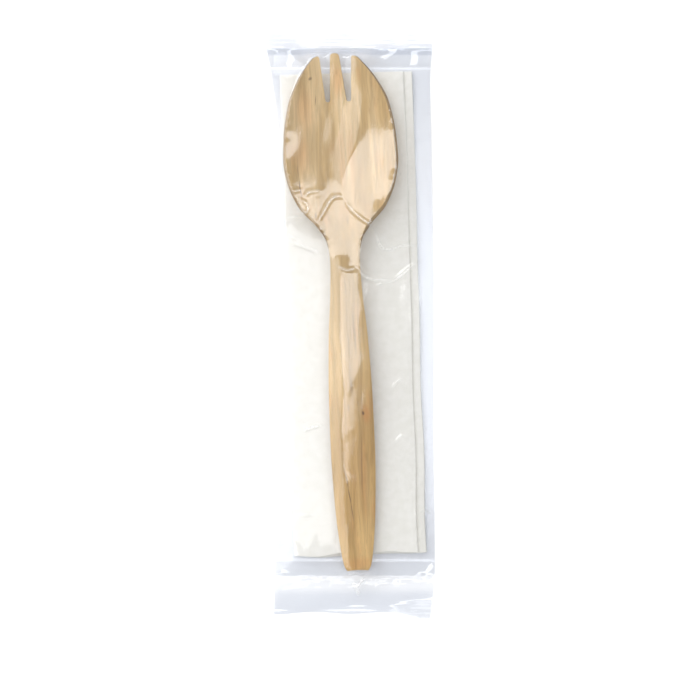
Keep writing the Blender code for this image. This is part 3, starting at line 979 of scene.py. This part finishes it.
def seal_ribs_tree():
    """Geometry nodes that press fine cross ribs into both end seals."""
    tree = bpy.data.node_groups.new("Seal ribs", "GeometryNodeTree")
    face = tree.interface
    face.new_socket("Geometry", in_out="INPUT", socket_type="NodeSocketGeometry")
    for name in ("Rib Pitch", "Rib Depth", "Top Start", "Bottom Start"):
        face.new_socket(name, in_out="INPUT", socket_type="NodeSocketFloat")
    face.new_socket("Film", in_out="INPUT", socket_type="NodeSocketMaterial")
    face.new_socket("Geometry", in_out="OUTPUT", socket_type="NodeSocketGeometry")
    given = tree.nodes.new("NodeGroupInput").outputs
    place = add(tree, "GeometryNodeInputPosition").outputs[0]
    up = add(tree, "ShaderNodeSeparateXYZ", Vector=place).outputs["Y"]
    phase = maths(tree, "MULTIPLY", maths(tree, "DIVIDE", up, given["Rib Pitch"]), math.tau)
    wave = maths(tree, "MULTIPLY", maths(tree, "SINE", phase), given["Rib Depth"])
    above = maths(tree, "GREATER_THAN", up, given["Top Start"])
    below = maths(tree, "LESS_THAN", up, given["Bottom Start"])
    offset = maths(tree, "MULTIPLY", wave, maths(tree, "ADD", above, below))
    vector = add(tree, "ShaderNodeCombineXYZ", Z=offset).outputs[0]
    moved = add(tree, "GeometryNodeSetPosition", Geometry=given["Geometry"], Offset=vector).outputs[0]
    real = add(tree, "GeometryNodeRealizeInstances", Geometry=moved).outputs[0]
    painted = add(tree, "GeometryNodeSetMaterial", Geometry=real, Material=given["Film"]).outputs[0]
    out = tree.nodes.new("NodeGroupOutput")
    tree.links.new(painted, out.inputs[0])
    return tree


def press_ribs(obj, settings, film):
    modifier = obj.modifiers.new("Seal ribs", "NODES")
    modifier.node_group = seal_ribs_tree()
    values = {
        "Rib Pitch": settings.rib_pitch,
        "Rib Depth": settings.rib_depth,
        "Top Start": 76.6 * MM,
        "Bottom Start": -75.2 * MM,
        "Film": film,
    }
    for item in modifier.node_group.interface.items_tree:
        if item.in_out == "INPUT" and item.name in values:
            modifier[item.identifier] = values[item.name]
    obj.data.materials.append(film)
    return settle(obj)


# Stage


def area_light(name, place, aim, size, power, colour="#FFFFFF"):
    data = bpy.data.lights.new(name, "AREA")
    data.shape = "RECTANGLE"
    data.size, data.size_y = size
    data.energy = power
    data.color = linear(colour)[:3]
    obj = bpy.data.objects.new(name, data)
    obj.location = place
    obj.rotation_euler = (Vector(aim) - Vector(place)).to_track_quat("-Z", "Y").to_euler()
    bpy.context.scene.collection.objects.link(obj)
    return obj


def make_stage(settings):
    scene = bpy.context.scene
    floor = mesh_object(
        "stage_floor",
        [(-1.5, -1.5, -0.0002), (1.5, -1.5, -0.0002), (1.5, 1.5, -0.0002), (-1.5, 1.5, -0.0002)],
        [(0, 1, 2, 3)],
    )
    mat, tree = new_material("white_board")
    shader = add(tree, "ShaderNodeBsdfPrincipled", Base_Color=linear("#FBFBFB"), Roughness=0.9)
    shader.inputs["Specular IOR Level"].default_value = 0.1
    add(tree, "ShaderNodeOutputMaterial", Surface=shader.outputs[0])
    floor.data.materials.append(mat)

    world = bpy.data.worlds.new("studio")
    world.use_nodes = True
    world.node_tree.nodes["Background"].inputs["Color"].default_value = linear("#FFFFFF")
    world.node_tree.nodes["Background"].inputs["Strength"].default_value = settings.fill
    scene.world = world
    area_light("panel_left", (-0.8, 0.3, 0.75), (0, 0, 0), (1.5, 1.6), settings.key)
    area_light("strip_top", (-0.25, 0.75, 0.5), (0, 0, 0), (1.3, 0.22), settings.strip)
    area_light("overhead_right", (0.16, 0.05, 0.95), (0.0, 0.0, 0.0), (0.26, 0.9), settings.overhead)

    lens = bpy.data.cameras.new("camera")
    lens.lens = 120
    lens.sensor_width = 36
    lens.clip_start = 0.01
    camera = bpy.data.objects.new("camera", lens)
    camera.location = (-0.0002, -0.0074, settings.distance)
    scene.collection.objects.link(camera)
    scene.camera = camera
    scene.view_settings.view_transform = "Standard"
    # A ray meets four faces of film on its way to the board and four more on its way to a light
    scene.cycles.transparent_max_bounces = 24


# Add-on


class SporkSettings(bpy.types.PropertyGroup):
    thickness: FloatProperty(name="Veneer", description="Thickness of the veneer", default=1.6 * MM, unit="LENGTH")
    rounding: FloatProperty(
        name="Edge rounding", description="Radius left on the edges by tumbling", default=0.32 * MM, unit="LENGTH"
    )
    row: FloatProperty(name="Row step", description="Millimetres between rows of the mesh", default=0.5)
    pale: FloatVectorProperty(
        name="Pale wood", description="Early wood", subtype="COLOR", default=to_hex_default("#D9BC8C")
    )
    deep: FloatVectorProperty(
        name="Deep wood", description="Late wood", subtype="COLOR", default=to_hex_default("#BA9A64")
    )


class NapkinSettings(bpy.types.PropertyGroup):
    step: FloatProperty(name="Step", description="Mesh step along the sheet", default=1.9 * MM, unit="LENGTH")
    softness: FloatProperty(
        name="Softness", description="Height of the slow waves in the packet", default=0.22 * MM, unit="LENGTH"
    )
    colour: FloatVectorProperty(
        name="Tissue", description="Colour of the tissue", subtype="COLOR", default=to_hex_default("#F3F0E8")
    )


class SleeveSettings(bpy.types.PropertyGroup):
    cell: FloatProperty(name="Cell", description="Mesh step over the contents", default=0.47 * MM, unit="LENGTH")
    seal_cell: FloatProperty(name="Seal cell", description="Mesh step in the end seals", default=0.3 * MM, unit="LENGTH")
    back_stride: IntProperty(name="Back stride", description="Columns skipped on the flat back", default=4, min=1)
    clearance: FloatProperty(
        name="Clearance", description="Least gap between film and contents", default=0.12 * MM, unit="LENGTH"
    )
    rounds: IntProperty(name="Rounds", description="Passes that pull the film tight", default=3000, min=1)
    waves: FloatProperty(name="Waves", description="Height of the film's slack waves", default=0.07 * MM, unit="LENGTH")
    gloss: FloatProperty(name="Gloss", description="Share of the mirror reflection", default=1.0, min=0, max=1)
    cast: FloatVectorProperty(
        name="Cast", description="What one face of the film lets through", subtype="COLOR", default=(0.95, 0.955, 0.965)
    )
    # How white the creases turn: stress whitening and a painted highlight
    crease_white_and_highlight: FloatProperty(
        name="Whitening", description="How white the film's sharp creases turn", default=0.4, min=0, max=1
    )
    rib_pitch: FloatProperty(name="Rib pitch", description="Spacing of the seal ribs", default=1.3 * MM, unit="LENGTH")
    rib_depth: FloatProperty(name="Rib depth", description="Height of the seal ribs", default=0.04 * MM, unit="LENGTH")


class StageSettings(bpy.types.PropertyGroup):
    fill: FloatProperty(name="Fill", description="Brightness of the soft room light", default=0.55, min=0)
    key: FloatProperty(name="Key", description="Power of the soft light on the left", default=12.0, unit="POWER")
    strip: FloatProperty(name="Strip", description="Power of the narrow light beyond the tines", default=3.5, unit="POWER")
    overhead: FloatProperty(name="Overhead", description="Power of the strip light above", default=3.0, unit="POWER")
    distance: FloatProperty(name="Distance", description="Camera height", default=0.6505, unit="LENGTH")


class CutleryPackSettings(bpy.types.PropertyGroup):
    spork: PointerProperty(type=SporkSettings)
    napkin: PointerProperty(type=NapkinSettings)
    sleeve: PointerProperty(type=SleeveSettings)
    stage: PointerProperty(type=StageSettings)


class CUTLERYPACK_OT_spork(bpy.types.Operator):
    """Make the birch veneer spork"""

    bl_idname = "cutlery_pack.spork"
    bl_label = "Spork"

    def execute(self, context):
        obj = make_spork(context.scene.cutlery_pack.spork)
        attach(obj, BODY)
        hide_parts("spork")
        return {"FINISHED"}


class CUTLERYPACK_OT_napkin(bpy.types.Operator):
    """Make the folded tissue napkin"""

    bl_idname = "cutlery_pack.napkin"
    bl_label = "Napkin"

    def execute(self, context):
        obj, flat = make_napkin(context.scene.cutlery_pack.napkin)
        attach(obj, BODY)
        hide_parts("napkin")
        return {"FINISHED"}


class CUTLERYPACK_OT_sleeve(bpy.types.Operator):
    """Make the clear film sleeve round the contents"""

    bl_idname = "cutlery_pack.sleeve"
    bl_label = "Film sleeve"

    def execute(self, context):
        settings = context.scene.cutlery_pack.sleeve
        contents = [bpy.data.objects[name] for name in ("birch_spork", "tissue_napkin")]
        obj = make_film(settings, contents)
        press_ribs(obj, settings, clear_film(settings))
        smooth(obj, 50)
        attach(obj, BODY)
        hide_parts("film_sleeve")
        return {"FINISHED"}


class CUTLERYPACK_OT_stage(bpy.types.Operator):
    """Make the white board, the soft lights and the camera"""

    bl_idname = "cutlery_pack.stage"
    bl_label = "Stage"

    def execute(self, context):
        make_stage(context.scene.cutlery_pack.stage)
        return {"FINISHED"}


STEPS = ("spork", "napkin", "sleeve", "stage")


class CUTLERYPACK_PT_sidebar(bpy.types.Panel):
    """Sizes, colours and steps of the cutlery pack"""

    bl_idname = "CUTLERYPACK_PT_sidebar"
    bl_label = "Cutlery pack"
    bl_space_type = "VIEW_3D"
    bl_region_type = "UI"
    bl_category = "Cutlery pack"

    def draw(self, context):
        settings = context.scene.cutlery_pack
        for step in STEPS:
            box = self.layout.box()
            group = getattr(settings, step)
            for name in group.bl_rna.properties.keys():
                if name not in ("rna_type", "name"):
                    box.prop(group, name)
            box.operator(f"cutlery_pack.{step}")


CLASSES = (
    SporkSettings,
    NapkinSettings,
    SleeveSettings,
    StageSettings,
    CutleryPackSettings,
    CUTLERYPACK_OT_spork,
    CUTLERYPACK_OT_napkin,
    CUTLERYPACK_OT_sleeve,
    CUTLERYPACK_OT_stage,
    CUTLERYPACK_PT_sidebar,
)


def register():
    for cls in CLASSES:
        bpy.utils.register_class(cls)
    bpy.types.Scene.cutlery_pack = PointerProperty(type=CutleryPackSettings)


def unregister():
    del bpy.types.Scene.cutlery_pack
    for cls in reversed(CLASSES):
        bpy.utils.unregister_class(cls)


def main():
    register()
    for step in STEPS:
        getattr(bpy.ops.cutlery_pack, step)()


if __name__ == "__main__":
    main()
